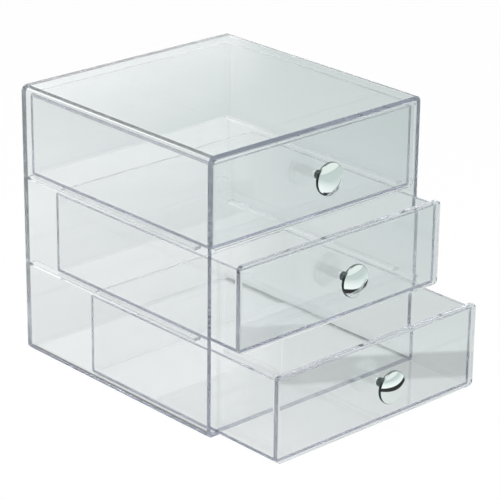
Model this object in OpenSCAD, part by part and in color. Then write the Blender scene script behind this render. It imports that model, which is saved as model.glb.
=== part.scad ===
// Clear organizer with three drawers: a moulded case that is open at the front,
// with ledges on its side walls that carry the two upper drawers, and three trays
// with bonded fronts and turned metal knobs. Millimetres, +Z up. The origin is the
// centre of the case's underside, the front faces -Y and the drawers slide out
// along -Y.

/* [Case] */
// Width over the side walls
case_w = 165; // [120:1:240]
// Depth from the open front to the outside of the back
case_d = 165; // [120:1:240]
// Height over the top and the bottom
case_h = 169; // [130:1:260]
// Thickness of the case's walls
wall_t = 2.6; // [2.2:0.1:4]
// Outer radius of the four edges that run from front to back
corner_r = 4; // [1:0.5:7]

/* [Ledges] */
// How far a ledge stands out from the side wall
ledge_w = 4.8; // [4.5:0.1:7]
// Thickness of a ledge
ledge_t = 2; // [1.6:0.1:2.4]
// Radius of a ledge's lower free edge
ledge_r = 0.6; // [0.2:0.1:0.7]
// How far a ledge's front end stands behind the case's front
ledge_recess = 12.5; // [8:0.5:30]

/* [Drawers] */
// Gap between a front and the case's side walls
front_side_gap = 0.9; // [0.5:0.1:1.5]
// Gap below a front, and between the top front and the top of the case
front_lift = 0.5; // [0.3:0.1:1]
// Gap between one front and the next
front_spacing = 2.3; // [1.5:0.1:4]
// Thickness of a front
front_t = 3; // [2:0.1:5]
// Radius of a front's corners
front_r = 3; // [1:0.5:6]
// How far a front stands out past its tray at each side
front_overhang = 1; // [0.5:0.1:1.5]
// How far a tray's rim lies below its front's top edge
rim_drop = 3; // [2.5:0.1:8]
// Thickness of a tray's walls
tray_wall = 2; // [1.2:0.1:3]
// Thickness of a tray's floor
tray_floor = 2; // [1.2:0.1:3]
// Outer radius of a tray's bottom edges
tray_r = 2; // [1:0.5:2.5]
// Outer radius of a tray's upright corners
tray_corner_r = 2; // [1:0.5:6]
// Diameter of the round mark under a tray's floor
gate_d = 7; // [3:0.5:12]
// Depth of that mark
gate_depth = 0.3; // [0.1:0.1:0.5]
// Gap between a tray and the surface that it slides on
slide_gap = 0.3; // [0.2:0.05:0.45]
// Gap between a closed tray and the case's back
back_gap = 0.5; // [0.3:0.1:3]
// How far the middle drawer is pulled out
middle_open = 22.5; // [0:0.5:90]
// How far the bottom drawer is pulled out
bottom_open = 54; // [0:0.5:90]

/* [Knobs] */
// Diameter of a knob's head
knob_d = 20; // [14:0.5:30]
// How far a knob stands out from its front
knob_reach = 12.5; // [10:0.5:20]
// Height of the dome on a knob's face
knob_dome = 1.8; // [0.6:0.1:2.5]
// Thickness of a knob's head at its edge
knob_edge = 2; // [1.4:0.1:3]
// Radius of the rounds on that edge
knob_round = 0.6; // [0.2:0.1:0.6]
// Diameter of a knob's neck
neck_d = 5.6; // [4.6:0.2:8]
// Radius of the fillet between the neck and the head
neck_fillet = 1.5; // [0.5:0.1:2.5]
// Diameter of the spigot that is bonded into the front
spigot_d = 4; // [2.5:0.5:4]
// Clearance around the spigot, filled by the bond
spigot_clear = 0.05; // [0.02:0.01:0.2]

/* [Hidden] */
$fn = 96;
// The dome is cut from a large circle, which takes more segments
dome_fn = 240;
// Levels, counted up from the case's floor
BOTTOM = 0;
MIDDLE = BOTTOM + 1;
TOP = MIDDLE + 1;
DRAWERS = TOP + 1;
// A cut or a root runs this far past the face that it meets
past = 1;
// The smallest radius left where a wall uses up an outer radius
least_r = 0.4;
front_y = -case_d / 2;
back_y = case_d / 2;
inner_back_y = back_y - wall_t;
inner_w = case_w - 2 * wall_t;
inner_h = case_h - 2 * wall_t;
front_w = inner_w - 2 * front_side_gap;
front_h = (inner_h - 2 * front_lift - (DRAWERS - 1) * front_spacing) / DRAWERS;
tray_w = front_w - 2 * front_overhang;
tray_h = front_h + front_lift - slide_gap - rim_drop;
tray_d = inner_back_y - back_gap - front_y - front_t;
ledge_y = front_y + ledge_recess;
neck_len = knob_reach - knob_dome - knob_edge;
face_r = knob_d / 2 - knob_round;
dome_r = (pow(face_r, 2) + pow(knob_dome, 2)) / (2 * knob_dome);

// Height of a front's bottom edge, and of the surface that its tray slides on
function front_z(level) = wall_t + front_lift + level * (front_h + front_spacing);
function slide_z(level) = front_z(level) - front_lift;

// Extrudes an outline drawn in X and Z from y0 to y1
module along_y(y0, y1)
    translate([0, y1, 0]) rotate([90, 0, 0]) linear_extrude(y1 - y0) children();

// Extrudes an outline drawn in Y and Z over a width that is centred on X
module along_x(width)
    translate([-width / 2, 0, 0]) rotate([90, 0, 90]) linear_extrude(width) children();

// A rectangle with four round corners, centred on X, that stands on the X axis
module round_rect(w, h, r) {
    translate([-w / 2 + r, 0]) square([w - 2 * r, h]);
    translate([-w / 2, r]) square([w, h - 2 * r]);
    for (x = [-w / 2 + r, w / 2 - r], y = [r, h - r]) translate([x, y]) circle(r);
}

// A rectangle with only its two lower corners round
module trough(w, h, r) {
    translate([-w / 2 + r, 0]) square([w - 2 * r, h]);
    translate([-w / 2, r]) square([w, h - r]);
    for (x = [-w / 2 + r, w / 2 - r]) translate([x, r]) circle(r);
}

// A block with a round bottom edge all the way round, and round upright corners
module basin(w, d, h, edge_r, upright_r)
    intersection() {
        along_y(-d / 2, d / 2) trough(w, h, edge_r);
        along_x(w) trough(d, h, edge_r);
        translate([0, -d / 2, 0]) linear_extrude(h) round_rect(w, d, upright_r);
    }

// Repeats what is drawn on the +X side on the -X side
module both_sides() {
    children();
    mirror([1, 0, 0]) children();
}

// A ledge's outline: flat on top for the tray, and round below its free edge
module ledge_outline() {
    translate([-ledge_w, ledge_r]) square([ledge_w + past, ledge_t - ledge_r]);
    translate([-ledge_w + ledge_r, 0]) square([ledge_w - ledge_r + past, ledge_t]);
    translate([-ledge_w + ledge_r, ledge_r]) circle(ledge_r);
}

module ledges(level)
    both_sides()
        translate([inner_w / 2, 0, slide_z(level) - ledge_t])
            along_y(ledge_y, inner_back_y + past) ledge_outline();

module case_shell()
    color([0.86, 0.89, 0.89, 0.5]) {
        difference() {
            along_y(front_y, back_y) round_rect(case_w, case_h, corner_r);
            along_y(front_y - past, inner_back_y)
                translate([0, wall_t])
                    round_rect(inner_w, inner_h, max(corner_r - wall_t, least_r));
        }
        for (level = [MIDDLE, TOP]) ledges(level);
    }

module tray(level, open)
    color([0.90, 0.92, 0.93, 0.5])
        translate([0, front_y + front_t + tray_d / 2 - open, slide_z(level) + slide_gap])
            difference() {
                basin(tray_w, tray_d, tray_h, tray_r, tray_corner_r);
                translate([0, 0, tray_floor])
                    basin(tray_w - 2 * tray_wall, tray_d - 2 * tray_wall, tray_h,
                          max(tray_r - tray_floor, least_r),
                          max(tray_corner_r - tray_wall, least_r));
                translate([0, 0, -past]) cylinder(d = gate_d, h = past + gate_depth);
            }

module front(level, open)
    color([0.84, 0.88, 0.88, 0.5])
        difference() {
            along_y(front_y - open, front_y + front_t - open)
                translate([0, front_z(level)]) round_rect(front_w, front_h, front_r);
            translate([0, 0, front_z(level) + front_h / 2])
                along_y(front_y - past - open, front_y + front_t + past - open)
                    circle(d = spigot_d + 2 * spigot_clear);
        }

// Half of a knob's section: its radius runs along X, and its reach along Y
// from the front's face at 0
module knob_section() {
    translate([0, -front_t]) square([spigot_d / 2, front_t]);
    square([neck_d / 2, neck_len + knob_edge]);
    translate([0, neck_len - neck_fillet])
        difference() {
            square([neck_d / 2 + neck_fillet, neck_fillet]);
            translate([neck_d / 2 + neck_fillet, 0]) circle(neck_fillet);
        }
    translate([0, neck_len]) {
        square([face_r, knob_edge]);
        translate([0, knob_round]) square([knob_d / 2, knob_edge - 2 * knob_round]);
        for (y = [knob_round, knob_edge - knob_round])
            translate([face_r, y]) circle(knob_round);
    }
    intersection() {
        translate([0, knob_reach - knob_dome]) square([face_r, knob_dome]);
        translate([0, knob_reach - dome_r]) circle(dome_r, $fn = dome_fn);
    }
}

module knob(level, open)
    color([0.78, 0.80, 0.80])
        translate([0, front_y - open, front_z(level) + front_h / 2])
            rotate([90, 0, 0]) rotate_extrude() knob_section();

case_shell();
tray(TOP, 0);  // tray_top
tray(MIDDLE, middle_open);  // tray_middle
tray(BOTTOM, bottom_open);  // tray_bottom
front(TOP, 0);  // front_top
front(MIDDLE, middle_open);  // front_middle
front(BOTTOM, bottom_open);  // front_bottom
knob(TOP, 0);  // knob_top
knob(MIDDLE, middle_open);  // knob_middle
knob(BOTTOM, bottom_open);  // knob_bottom
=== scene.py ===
import math

import bpy
from mathutils import Matrix, Vector


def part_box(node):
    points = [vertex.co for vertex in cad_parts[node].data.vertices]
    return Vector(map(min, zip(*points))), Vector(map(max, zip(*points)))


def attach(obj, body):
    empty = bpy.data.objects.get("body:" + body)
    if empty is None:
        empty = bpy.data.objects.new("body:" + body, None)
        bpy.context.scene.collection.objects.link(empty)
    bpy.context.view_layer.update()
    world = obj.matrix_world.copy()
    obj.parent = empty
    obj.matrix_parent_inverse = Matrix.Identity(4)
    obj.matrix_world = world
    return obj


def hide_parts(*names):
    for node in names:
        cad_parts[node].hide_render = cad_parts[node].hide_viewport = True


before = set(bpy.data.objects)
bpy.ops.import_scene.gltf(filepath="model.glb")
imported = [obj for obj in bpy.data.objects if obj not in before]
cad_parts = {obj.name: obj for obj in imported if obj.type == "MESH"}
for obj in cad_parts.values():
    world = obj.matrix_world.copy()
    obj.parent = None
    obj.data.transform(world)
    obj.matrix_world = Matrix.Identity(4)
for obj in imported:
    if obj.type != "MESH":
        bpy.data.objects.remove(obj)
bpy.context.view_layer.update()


# ---- Case -------------------------------------------------------------------
# One moulding of clear plastic, open at the front. Its four long edges are
# round, and two ledges on each side wall carry the upper drawers. It is
# polished, and painted shade makes the rim around its opening a little darker.

WALL = 0.0026
LONG_EDGE_RADIUS = 0.004
ROUND_STEPS = 12
LEDGE_WIDTH = 0.0048
LEDGE_THICKNESS = 0.002
LEDGE_ROUND = 0.0006
LEDGE_RECESS = 0.0125
SLIDE_GAP = 0.0003
# A part that is joined to a wall reaches this far into it
ROOT = 0.001
# Two faces that touch on the real thing stay this far apart, so that light
# crosses them one after the other
HAIR = 0.00003
MOULD_EDGE = 0.0003
MOULD_STEPS = 3
SHARP = math.radians(50)
SAME = 1e-6
SIDES = (-1, 1)

WALL_TINT = (0.985, 0.990, 0.990)
# Painted shade for the rim around the case's opening
RIM_PAINTED_SHADE = (0.57, 0.61, 0.68)
RIM_FADE = 0.0001
# The colour and the strength of what a long way through a wall takes
CASE_SOAK = ((0.0, 0.03, 0.20), 4.1)
CASE_PATTERN = 0.3
REFRACTION = 1.5
# The slow waves that a mould leaves in its faces, and the film of fine rubbing
WAVE_SCALE = 32
WAVE_DEPTH = 0.00005
FILM_SCALE = 140
FILM_TINT = 0.985
FILM_ROUGHNESS = 0.02
# Light that a wall leads along leaves it between these counts of turns, as it
# does at the small faults of a real wall
GUIDED_TURNS = (16, 34)


def block(name, low, high):
    """A box from one corner to the other, selected and in object mode."""
    bpy.ops.object.select_all(action="DESELECT")
    bpy.ops.mesh.primitive_cube_add(size=1, location=(low + high) / 2)
    made = bpy.context.object
    made.name = name
    made.scale = high - low
    bpy.ops.object.transform_apply(location=True, rotation=False, scale=True)
    return made


def pick_edges(piece, rule):
    """Puts the piece in edit mode with just those edges selected whose ends pass the rule."""
    bpy.ops.object.select_all(action="DESELECT")
    piece.select_set(True)
    bpy.context.view_layer.objects.active = piece
    bpy.ops.object.mode_set(mode="EDIT")
    bpy.ops.mesh.select_mode(type="EDGE")
    bpy.ops.mesh.select_all(action="DESELECT")
    bpy.ops.object.mode_set(mode="OBJECT")
    points = piece.data.vertices
    for edge in piece.data.edges:
        edge.select = rule(*(points[i].co for i in edge.vertices))
    bpy.ops.object.mode_set(mode="EDIT")


def round_edges(piece, rule, radius, steps):
    """Rounds the edges whose ends pass the rule."""
    pick_edges(piece, rule)
    bpy.ops.mesh.bevel(offset=radius, segments=steps, affect="EDGES", clamp_overlap=False)
    bpy.ops.object.mode_set(mode="OBJECT")


def remove_face(piece, normal):
    """Opens the piece on the side that faces the given way."""
    pick_edges(piece, lambda a, b: False)
    bpy.ops.mesh.select_mode(type="FACE")
    bpy.ops.object.mode_set(mode="OBJECT")
    for face in piece.data.polygons:
        face.select = face.normal.dot(normal) > 0.999
    bpy.ops.object.mode_set(mode="EDIT")
    bpy.ops.mesh.delete(type="FACE")
    bpy.ops.object.mode_set(mode="OBJECT")


def shape(piece, kind, **settings):
    """Adds a modifier and applies it."""
    bpy.ops.object.select_all(action="DESELECT")
    piece.select_set(True)
    bpy.context.view_layer.objects.active = piece
    modifier = piece.modifiers.new(kind.lower(), kind)
    for name, given in settings.items():
        setattr(modifier, name, given)
    bpy.ops.object.modifier_apply(modifier=modifier.name)


def combine(piece, tools, operation):
    """Joins tools to the piece, or cuts them out of it, and deletes them."""
    for tool in tools:
        shape(piece, "BOOLEAN", operation=operation, object=tool, solver="EXACT")
        bpy.data.objects.remove(tool)


def soften(piece, radius):
    """Breaks the sharp edges as a mould does, and smooths what is round."""
    shape(
        piece, "BEVEL", width=radius, segments=MOULD_STEPS, limit_method="ANGLE",
        angle_limit=SHARP, use_clamp_overlap=True,
    )
    bpy.ops.object.shade_smooth()
    shape(piece, "WEIGHTED_NORMAL", mode="FACE_AREA", weight=100)


def near(a, b):
    """True if two places are the same but for rounding."""
    return abs(a - b) < SAME


class Value:
    """A shader socket that adds, subtracts and multiplies like a number."""

    def __init__(self, tree, socket):
        self.tree = tree
        self.socket = socket

    def math(self, operation, *others):
        """The result of a Math node on this value and the others."""
        node = self.tree.nodes.new("ShaderNodeMath")
        node.operation = operation
        for entry, given in zip(node.inputs, (self, *others)):
            feed(self.tree, entry, given)
        return Value(self.tree, node.outputs[0])

    def __add__(self, other):
        return self.math("ADD", other)

    def __sub__(self, other):
        return self.math("SUBTRACT", other)

    def __mul__(self, other):
        return self.math("MULTIPLY", other)

    def __rsub__(self, other):
        return self * -1 + other

    __radd__ = __add__
    __rmul__ = __mul__

    def other(self, name):
        """Another output of the same node."""
        return Value(self.tree, self.socket.node.outputs[name])


def feed(tree, entry, given):
    """Links a socket to an input, or sets the input to a number or colour."""
    if isinstance(given, Value):
        tree.links.new(given.socket, entry)
    else:
        entry.default_value = given


class Finish:
    """The node tree of a material or of the world."""

    def __init__(self, owner):
        owner.use_nodes = True
        self.tree = owner.node_tree
        self.tree.nodes.clear()

    def node(self, kind, inputs=None, output=0, stops=(), fade="LINEAR", **settings):
        """Adds a node, with its settings before its inputs. stops are a ramp's
        places and colours, and fade is how it goes from one to the next."""
        made = self.tree.nodes.new("ShaderNode" + kind)
        for name, given in settings.items():
            setattr(made, name, given)
        for count, (where, colour) in enumerate(stops):
            ramp = made.color_ramp
            ramp.interpolation = fade
            stop = ramp.elements[count] if count < 2 else ramp.elements.new(where)
            stop.position = where
            stop.color = (*colour, 1)
        for name, given in (inputs or {}).items():
            feed(self.tree, made.inputs[name], given)
        return Value(self.tree, made.outputs[output]) if made.outputs else made

    def scaled(self, value, low, high, at_low=0, at_high=1):
        """Runs from at_low to at_high as the value runs from low to high."""
        return self.node(
            "MapRange",
            {"Value": value, "From Min": low, "From Max": high, "To Min": at_low, "To Max": at_high},
        )


def clear_plastic(name, soak, pattern, rim_end=None):
    """Polished clear plastic. pattern moves its waves and film, so that two kinds
    of piece don't share them. With rim_end, faces in front of that Y get painted shade that makes them
    darker."""
    material = bpy.data.materials.new(name)
    finish = Finish(material)
    place = finish.node("TexCoord").other("Object")
    moved = finish.node("Mapping", {"Vector": place, "Location": (pattern, 2 * pattern, 3 * pattern)})
    waves = finish.node("TexNoise", {"Vector": moved, "Scale": WAVE_SCALE, "Detail": 1})
    film = finish.node("TexNoise", {"Vector": moved, "Scale": FILM_SCALE, "Detail": 4})
    face = finish.node("Bump", {"Strength": 1, "Distance": WAVE_DEPTH, "Height": waves})
    colour = finish.node(
        "ValToRGB", {"Fac": film}, stops=((0, [FILM_TINT * c for c in WALL_TINT]), (1, WALL_TINT)),
    )
    # Painted shade: faces in front of rim_end take the darker rim colour
    if rim_end is not None:
        along = finish.node("SeparateXYZ", {"Vector": place}).other("Y")
        at_rim = finish.scaled(along, rim_end - RIM_FADE, rim_end + RIM_FADE, 1, 0)
        colour = finish.node(
            "MixRGB", {"Fac": at_rim, "Color1": colour, "Color2": (*RIM_PAINTED_SHADE, 1)}, blend_type="MIX",
        )
    glass = finish.node(
        "BsdfPrincipled",
        {
            "Base Color": colour, "Roughness": film * FILM_ROUGHNESS, "IOR": REFRACTION,
            "Transmission Weight": 1, "Normal": face,
        },
    )
    passed = finish.node("BsdfTransparent", {"Color": (*WALL_TINT, 1)})
    path = finish.node("LightPath")
    led_far = finish.scaled(path.other("Ray Depth"), *GUIDED_TURNS)
    leaving = path.other("Is Shadow Ray").math("MAXIMUM", led_far)
    mixed = finish.node("MixShader", {0: leaving, 1: glass, 2: passed})
    soaked = finish.node("VolumeAbsorption", {"Color": (*soak[0], 1), "Density": soak[1]})
    finish.node("OutputMaterial", {"Surface": mixed, "Volume": soaked})
    return material


def dress(piece, material, body, slot, *nodes):
    """Gives a finished piece its material and its body, and hides the CAD nodes it stands for."""
    piece.data.materials.clear()
    piece.data.materials.append(material)
    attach(piece, body)
    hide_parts(*nodes)


case_low, case_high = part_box("case_shell")
case = block("case", case_low, case_high)
round_edges(case, lambda a, b: not near(a.y, b.y), LONG_EDGE_RADIUS, ROUND_STEPS)
remove_face(case, Vector((0, -1, 0)))
shape(case, "SOLIDIFY", thickness=WALL, offset=-1, use_even_offset=True)

inside_x = case_high.x - WALL
inside_back = case_high.y - WALL
ledges = []
for carried in ("tray_top", "tray_middle"):
    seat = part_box(carried)[0].z - SLIDE_GAP
    for side in SIDES:
        free_x = side * (inside_x - LEDGE_WIDTH)
        root_x = side * (inside_x + ROOT)
        ledge = block(
            "ledge",
            Vector((min(free_x, root_x), case_low.y + LEDGE_RECESS, seat - LEDGE_THICKNESS)),
            Vector((max(free_x, root_x), inside_back + ROOT, seat)),
        )
        round_edges(
            ledge, lambda a, b: not near(a.y, b.y) and near(a.x, free_x) and a.z < seat - ROOT,
            LEDGE_ROUND, ROUND_STEPS // 2,
        )
        ledges.append(ledge)
combine(case, ledges, "UNION")
soften(case, MOULD_EDGE)
case_plastic = clear_plastic("case_plastic", CASE_SOAK, CASE_PATTERN, rim_end=case_low.y + MOULD_EDGE)
dress(case, case_plastic, "case", "clear_case", "case_shell")


# ---- Trays ------------------------------------------------------------------
# Three alike mouldings of clear plastic: deep boxes with thin walls, round below
# and at the upright corners. The mould's gate left a shallow round mark under
# each floor. They slide on the ledges, and the lowest on the case's floor.

TRAY_WALL = 0.002
TRAY_RADIUS = 0.002
INNER_RADIUS = 0.0004
RIM_EDGE = 0.0003
GATE_RADIUS = 0.0035
GATE_DEPTH = 0.0003
GATE_STEPS = 64
TRAY_SOAK = ((0.0, 0.01, 0.25), 5.2)
TRAY_PATTERN = 3.1
LEVELS = ("top", "middle", "bottom")

tray_plastic = clear_plastic("tray_plastic", TRAY_SOAK, TRAY_PATTERN)
for level in LEVELS:
    low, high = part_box("tray_" + level)
    tray = block("drawer_box_" + level, low, high)
    round_edges(
        tray, lambda a, b: not near(a.z, b.z) or near(a.z, low.z), TRAY_RADIUS, ROUND_STEPS,
    )
    wall = Vector((TRAY_WALL, TRAY_WALL, TRAY_WALL))
    hollow = block("hollow", low + wall, high - wall + Vector((0, 0, 2 * TRAY_WALL)))
    round_edges(
        hollow, lambda a, b: not near(a.z, b.z) or near(a.z, low.z + TRAY_WALL),
        INNER_RADIUS, ROUND_STEPS // 2,
    )
    bpy.ops.mesh.primitive_cylinder_add(
        vertices=GATE_STEPS, radius=GATE_RADIUS, depth=2 * GATE_DEPTH,
        location=((low.x + high.x) / 2, (low.y + high.y) / 2, low.z),
    )
    combine(tray, [hollow, bpy.context.object], "DIFFERENCE")
    soften(tray, RIM_EDGE)
    dress(tray, tray_plastic, "drawer_" + level, "clear_tray", "tray_" + level)


# ---- Fronts -----------------------------------------------------------------
# Flat plates of clear plastic with round corners, each bonded to the front of
# its tray and a little wider and taller. A hole takes the knob's spigot.

FRONT_RADIUS = 0.003
FRONT_EDGE = 0.0003
BORE_RADIUS = 0.00205
BORE_STEPS = 48
FRONT_SOAK = ((0.0, 0.01, 0.25), 3.8)
FRONT_PATTERN = 4.9

front_plastic = clear_plastic("front_plastic", FRONT_SOAK, FRONT_PATTERN)
for level in LEVELS:
    low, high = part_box("front_" + level)
    front = block("drawer_front_" + level, low, Vector((high.x, high.y - HAIR, high.z)))
    round_edges(front, lambda a, b: not near(a.y, b.y), FRONT_RADIUS, ROUND_STEPS)
    bpy.ops.mesh.primitive_cylinder_add(
        vertices=BORE_STEPS, radius=BORE_RADIUS, depth=4 * (high.y - low.y),
        location=(low + high) / 2, rotation=(math.pi / 2, 0, 0),
    )
    combine(front, [bpy.context.object], "DIFFERENCE")
    soften(front, FRONT_EDGE)
    dress(front, front_plastic, "drawer_" + level, "clear_front", "front_" + level)


# ---- Knobs ------------------------------------------------------------------
# Turned metal: a flat button with a low dome and rounded edges on a straight
# neck, and a thin spigot that is bonded into the front. The face is polished
# to a mirror. The edge is painted near black, as a painted dark reflection,
# with a painted highlight towards its top, and the neck is darker.

KNOB_STEPS = 96
SPIGOT_RADIUS = 0.002
NECK_RADIUS = 0.0028
NECK_FILLET = 0.0015
HEAD_EDGE = 0.002
HEAD_ROUND = 0.0006
DOME = 0.0018
ARC_STEPS = 8
DOME_STEPS = 24
START_SIZE = 0.001
MERGED = 0.000005
CREASE = math.radians(35)
FACE_COLOUR = (0.88, 0.92, 0.90)
# Painted dark reflection: the edge's near black stands in for dark surroundings that it mirrors
EDGE_PAINTED_DARK = (0.03, 0.04, 0.04)
# Painted highlight on the top of the edge
EDGE_PAINTED_HIGHLIGHT = (0.26, 0.29, 0.28)
NECK_COLOUR = (0.12, 0.14, 0.14)
# How far behind the dome each colour starts, on a scale where the head's back
# is at HEAD_BACK
HEAD_BACK = 0.83
EDGE_START = 0.025
BACK_START = 0.8
NECK_START = 0.95
# A painted highlight makes the edge paler between these shares of the knob's height
PALER_FROM = 0.7
PALER_TO = 0.95
RUBBED_SCALE = 300
RUBBED_ROUGHNESS = 0.04


def arc(centre, radius, start, end, steps):
    """Points on a circle, from one angle to another."""
    turns = [start + (end - start) * step / steps for step in range(steps + 1)]
    return [(centre[0] + radius * math.cos(t), centre[1] + radius * math.sin(t)) for t in turns]


def knob_outline(radius, reach, spigot):
    """Points from the spigot's end to the top of the dome, as distance from the
    axis and height above the front's face."""
    back = reach - DOME - HEAD_EDGE
    flat = radius - HEAD_ROUND
    sphere = (flat ** 2 + DOME ** 2) / (2 * DOME)
    tilt = math.pi / 2 - math.asin(flat / sphere)
    points = [(0, -spigot), (SPIGOT_RADIUS, -spigot), (SPIGOT_RADIUS, HAIR), (NECK_RADIUS, HAIR)]
    points += arc(
        (NECK_RADIUS + NECK_FILLET, back - NECK_FILLET), NECK_FILLET, math.pi, math.pi / 2, ARC_STEPS,
    )
    points += arc((flat, back + HEAD_ROUND), HEAD_ROUND, -math.pi / 2, 0, ARC_STEPS)
    points += arc((flat, back + HEAD_EDGE - HEAD_ROUND), HEAD_ROUND, 0, tilt, ARC_STEPS)
    points += arc((0, reach - sphere), sphere, tilt, math.pi / 2, DOME_STEPS)[1:]
    return points


knob_metal = bpy.data.materials.new("knob_metal")
polish = Finish(knob_metal)
knob_low, knob_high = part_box("knob_top")
place = polish.node("TexCoord")
rubbed = polish.node("TexNoise", {"Vector": place.other("Object"), "Scale": RUBBED_SCALE, "Detail": 3})
share = polish.node("SeparateXYZ", {"Vector": place.other("Generated")})
behind_dome = share.other("Y") * (knob_high.y - knob_low.y) - DOME
depth = polish.scaled(behind_dome, 0, HEAD_EDGE / HEAD_BACK)
# The metal's colour bands, with the edge's painted dark reflection
plating_and_painted_light = polish.node(
    "ValToRGB", {"Fac": depth}, fade="CONSTANT",
    stops=(
        (0, FACE_COLOUR), (EDGE_START, EDGE_PAINTED_DARK), (BACK_START, FACE_COLOUR), (NECK_START, NECK_COLOUR),
    ),
)
# Painted highlight: the top of the edge is paler
highlight_on_top = polish.scaled(share.other("Z"), PALER_FROM, PALER_TO)
on_edge = depth.math("GREATER_THAN", EDGE_START) * depth.math("LESS_THAN", BACK_START)
plating_and_painted_light = polish.node(
    "MixRGB", {"Fac": highlight_on_top * on_edge, "Color1": plating_and_painted_light, "Color2": (*EDGE_PAINTED_HIGHLIGHT, 1)},
    blend_type="MIX",
)
mirror = polish.node(
    "BsdfPrincipled",
    {"Base Color": plating_and_painted_light, "Metallic": 1, "Roughness": rubbed * RUBBED_ROUGHNESS},
)
polish.node("OutputMaterial", {"Surface": mirror})

for level in LEVELS:
    low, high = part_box("knob_" + level)
    front_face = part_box("front_" + level)[0].y
    axis_z = (low.z + high.z) / 2
    outline = knob_outline(high.x, front_face - low.y, high.y - front_face - 2 * HAIR)
    # The outline starts from a small plane that is merged to a point
    bpy.ops.object.select_all(action="DESELECT")
    bpy.ops.mesh.primitive_plane_add(
        size=START_SIZE, location=(0, front_face - outline[0][1], axis_z),
    )
    knob = bpy.context.object
    knob.name = "knob_turned_" + level
    bpy.ops.object.transform_apply(location=True, rotation=True, scale=True)
    bpy.ops.object.mode_set(mode="EDIT")
    bpy.ops.mesh.select_mode(type="VERT")
    bpy.ops.mesh.select_all(action="SELECT")
    bpy.ops.mesh.merge(type="CENTER")
    for (from_r, from_h), (to_r, to_h) in zip(outline, outline[1:]):
        bpy.ops.mesh.extrude_region_move(
            TRANSFORM_OT_translate={"value": (to_r - from_r, from_h - to_h, 0)},
        )
    bpy.ops.mesh.select_all(action="SELECT")
    bpy.ops.mesh.spin(
        steps=KNOB_STEPS, angle=2 * math.pi, center=(0, front_face, axis_z), axis=(0, 1, 0),
    )
    bpy.ops.mesh.select_all(action="SELECT")
    bpy.ops.mesh.remove_doubles(threshold=MERGED)
    bpy.ops.mesh.normals_make_consistent(inside=False)
    bpy.ops.object.mode_set(mode="OBJECT")
    bpy.ops.object.shade_smooth_by_angle(angle=CREASE)
    dress(knob, knob_metal, "drawer_" + level, "knob_metal", "knob_" + level)


# ---- Floor ------------------------------------------------------------------
# A plain floor that the camera sees as white. What the plastic shows of it has
# painted shade that dims it towards the near right, and a painted contact shadow
# right beneath the case's side walls. Light that a piece has mirrored also meets
# a painted dark strip, for the dark lines on the knobs, and a painted glow past it.

FLOOR_SIZE = 8
FLOOR_DROP = 0.0002
FLOOR_GLOW = 0.96
FLOOR_PAINT = (0.85, 0.85, 0.85)
WHITE = (1, 1, 1, 1)
# The floor's painted shade deepens along this way over X and Y
FALL_WAY = (0.9, -0.3)
FALL_START = -0.02
FALL_END = 0.30
FLOOR_BRIGHT = (0.85, 0.87, 0.87)
FLOOR_PAINTED_SHADE = (0.52, 0.59, 0.58)
# The painted dark strip lies across this way, for the dark lines on the knobs, and past it the mirrored
# floor is brighter, a painted glow
STRIP_WAY = (0.57, -0.82)
STRIP_PLACE = 0.192
STRIP_WIDTH = 0.036
STRIP_FADE = 0.001
PAST_STRIP = 1.42
PAST_ALL = 1.15
PAST_END = 0.45
# A painted contact shadow: the dark line beneath each side wall
CONTACT_IN = 0.0025
CONTACT_NEAR = 0.001
CONTACT_FAR = 0.005
CONTACT_SHADE = 0
# Painted shade: the floor is a little darker near the case
NEAR_DISTANCE = 0.1
FAR_DISTANCE = 0.3
NEAR_SHADE = 0.90
FAR_SHADE = 1.06


def by_piece(rays):
    """1 for light that comes off a piece or through it, and else 0."""
    return rays.other("Is Glossy Ray").math("MAXIMUM", rays.other("Is Transmission Ray"))


def once_mirrored(rays):
    """1 for light that a piece has mirrored at least once, and else 0."""
    return rays.other("Glossy Depth").math("GREATER_THAN", 0)


bpy.ops.object.select_all(action="DESELECT")
bpy.ops.mesh.primitive_plane_add(size=FLOOR_SIZE, location=(0, 0, case_low.z - FLOOR_DROP))
floor = bpy.context.object
floor.name = "floor"
floor_white = bpy.data.materials.new("floor_white")
white = Finish(floor_white)
rays = white.node("LightPath")
place = white.node("NewGeometry").other("Position")
spot = white.node("SeparateXYZ", {"Vector": place})
falling = white.scaled(
    spot.other("X") * FALL_WAY[0] + spot.other("Y") * FALL_WAY[1], FALL_START, FALL_END,
)
# Painted shade on the floor that the plastic shows
tone = white.node("ValToRGB", {"Fac": falling}, stops=((0, FLOOR_BRIGHT), (1, FLOOR_PAINTED_SHADE)))
# Only in mirrored light: a painted dark strip, and a painted glow past it
past_strip = spot.other("X") * STRIP_WAY[0] + spot.other("Y") * STRIP_WAY[1] - STRIP_PLACE
brighter = white.scaled(past_strip, 0, PAST_END - STRIP_PLACE, PAST_STRIP, PAST_ALL)
brighter = brighter * past_strip.math("GREATER_THAN", 0) + past_strip.math("LESS_THAN", 0)
off_painted_strip = white.scaled(
    past_strip.math("ABSOLUTE"), STRIP_WIDTH / 2 - STRIP_FADE, STRIP_WIDTH / 2 + STRIP_FADE,
)
# Painted contact shadow beneath the side walls, in light through the pieces and mirrored by them
from_wall = (spot.other("X").math("ABSOLUTE") - (case_high.x - CONTACT_IN)).math("ABSOLUTE")
painted_contact_shadow = white.scaled(from_wall, CONTACT_NEAR, CONTACT_FAR, CONTACT_SHADE, 1).math(
    "MAXIMUM", spot.other("Y").math("ABSOLUTE").math("GREATER_THAN", case_high.y),
)
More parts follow.
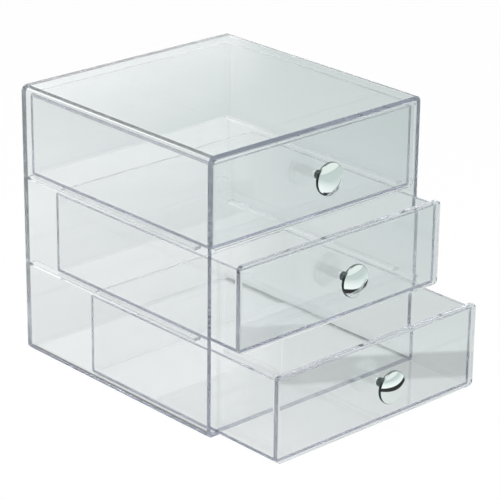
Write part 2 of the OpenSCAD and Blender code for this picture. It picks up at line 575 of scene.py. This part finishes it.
# Painted shade near the case, in light through the pieces
distance = white.node("VectorMath", {0: place}, output="Value", operation="LENGTH")
beneath = white.scaled(distance, NEAR_DISTANCE, FAR_DISTANCE, NEAR_SHADE, FAR_SHADE)
through = white.node("Emission", {"Color": tone, "Strength": painted_contact_shadow * beneath})
mirrored = white.node("Emission", {"Color": tone, "Strength": off_painted_strip * brighter * painted_contact_shadow})
plain = white.node("Emission", {"Color": WHITE, "Strength": 1})
shown = white.node("MixShader", {0: once_mirrored(rays), 1: through, 2: mirrored})
shown = white.node("MixShader", {0: rays.other("Is Camera Ray"), 1: shown, 2: plain})
paper = white.node("BsdfDiffuse", {"Color": (*FLOOR_PAINT, 1)})
seen = (rays.other("Is Camera Ray") + by_piece(rays)) * FLOOR_GLOW
white.node("OutputMaterial", {"Surface": white.node("MixShader", {0: seen, 1: paper, 2: shown})})
floor.data.materials.append(floor_white)


# ---- Card -------------------------------------------------------------------
# A white studio card behind the case and to its right, with soft edges. It is
# painted light: it glows brighter than white, and no lamp lights it. Only
# light that comes off a piece or through it meets the card, so it shows as the
# pale patch that the case's top mirrors.

CARD_LOW = Vector((0.20, 0.55, 0.02))
CARD_HIGH = Vector((0.58, 0.55, 0.43))
CARD_FADE = 0.07
CARD_GLOW = 1.27

bpy.ops.object.select_all(action="DESELECT")
bpy.ops.mesh.primitive_plane_add(
    size=1, location=(CARD_LOW + CARD_HIGH) / 2, rotation=(math.pi / 2, 0, 0),
)
card = bpy.context.object
card.name = "card"
card.scale = (CARD_HIGH.x - CARD_LOW.x, CARD_HIGH.z - CARD_LOW.z, 1)
card_white = bpy.data.materials.new("card_white")
sheet = Finish(card_white)
place = sheet.node("SeparateXYZ", {"Vector": sheet.node("NewGeometry").other("Position")})
shown = by_piece(sheet.node("LightPath"))
for side, edge, fade in (
    ("X", CARD_LOW.x, -CARD_FADE), ("X", CARD_HIGH.x, CARD_FADE), ("Z", CARD_HIGH.z, CARD_FADE),
):
    shown = shown * sheet.scaled(place.other(side), edge - fade, edge, 1, 0)
# Painted light: the card glows though it is no lamp
glow_shader = sheet.node("Emission", {"Color": WHITE, "Strength": CARD_GLOW})
clear = sheet.node("BsdfTransparent", {"Color": WHITE})
sheet.node("OutputMaterial", {"Surface": sheet.node("MixShader", {0: shown, 1: clear, 2: glow_shader})})
card.data.materials.append(card_white)


# ---- Room and lamp ----------------------------------------------------------
# A pale room, a little brighter at the near right, which the camera sees as
# white. One large soft lamp hangs over the near left.

ROOM_LIGHT = 0.82
ROOM_LEAN = 0.10
NEAR_RIGHT = (0.707, -0.707, 0)
ROOM_MIRRORED = (0.94, 1.0, 0.98, 1)
ROOM_THROUGH = (0.97, 1.0, 1.0, 1)
ROOM_ON_MATT = 0.6
LAMP_SIZE = 0.8
LAMP_POWER = 14
LAMP_PLACE = (-0.35, -0.45, 1.25)
LAMP_TARGET = Vector((0, 0, 0.08))

world = bpy.data.worlds.new("studio")
bpy.context.scene.world = world
studio = Finish(world)
rays = studio.node("LightPath")
towards = studio.node(
    "VectorMath", {0: studio.node("TexCoord").other("Generated"), 1: NEAR_RIGHT},
    output="Value", operation="DOT_PRODUCT",
)
strength = towards * ROOM_LEAN + ROOM_LIGHT
mirrored_room = studio.node("Background", {"Color": ROOM_MIRRORED, "Strength": strength})
clear_room = studio.node("Background", {"Color": ROOM_THROUGH, "Strength": strength})
seen_room = studio.node("MixShader", {0: once_mirrored(rays), 1: clear_room, 2: mirrored_room})
lit_room = studio.node("Background", {"Color": WHITE, "Strength": ROOM_ON_MATT})
around = studio.node("MixShader", {0: by_piece(rays), 1: lit_room, 2: seen_room})
backdrop = studio.node("Background", {"Color": WHITE, "Strength": 1})
studio.node(
    "OutputWorld",
    {"Surface": studio.node("MixShader", {0: rays.other("Is Camera Ray"), 1: around, 2: backdrop})},
)

lamp_data = bpy.data.lights.new("softbox", "AREA")
lamp_data.size = LAMP_SIZE
lamp_data.energy = LAMP_POWER
lamp = bpy.data.objects.new("softbox", lamp_data)
bpy.context.scene.collection.objects.link(lamp)
lamp.location = LAMP_PLACE
lamp.rotation_mode = "QUATERNION"
lamp.rotation_quaternion = (LAMP_TARGET - lamp.location).to_track_quat("-Z", "Y")


# ---- Camera -----------------------------------------------------------------
# Its place, turn and lens are fitted to the edges of the case and the drawers.
# Light crosses many walls, and runs far along each one, so it may turn often.

AZIMUTH = math.radians(-42.74)
ELEVATION = math.radians(21.96)
ROLL = math.radians(0.69)
DISTANCE = 1.426
AIM = Vector((0.011, -0.0152, 0.070))
FOCAL_PIXELS = 2386
PICTURE_PIXELS = 500
SENSOR = 36
MOST_TURNS = 48
MOST_CLEAR = 64

away = Vector((
    math.sin(AZIMUTH) * math.cos(ELEVATION),
    -math.cos(AZIMUTH) * math.cos(ELEVATION),
    math.sin(ELEVATION),
))
level_right = (-away).cross(Vector((0, 0, 1))).normalized()
level_up = level_right.cross(-away)
right = level_right * math.cos(ROLL) + level_up * math.sin(ROLL)
up = level_up * math.cos(ROLL) - level_right * math.sin(ROLL)
turn = Matrix((right, up, away)).transposed().to_4x4()
camera_data = bpy.data.cameras.new("camera")
camera_data.sensor_width = SENSOR
camera_data.lens = SENSOR * FOCAL_PIXELS / PICTURE_PIXELS
camera = bpy.data.objects.new("camera", camera_data)
bpy.context.scene.collection.objects.link(camera)
camera.matrix_world = Matrix.Translation(AIM + away * DISTANCE) @ turn
bpy.context.scene.camera = camera

scene = bpy.context.scene
scene.cycles.max_bounces = MOST_TURNS
scene.cycles.transmission_bounces = MOST_TURNS
scene.cycles.glossy_bounces = MOST_TURNS
scene.cycles.transparent_max_bounces = MOST_CLEAR
scene.view_settings.view_transform = "Standard"
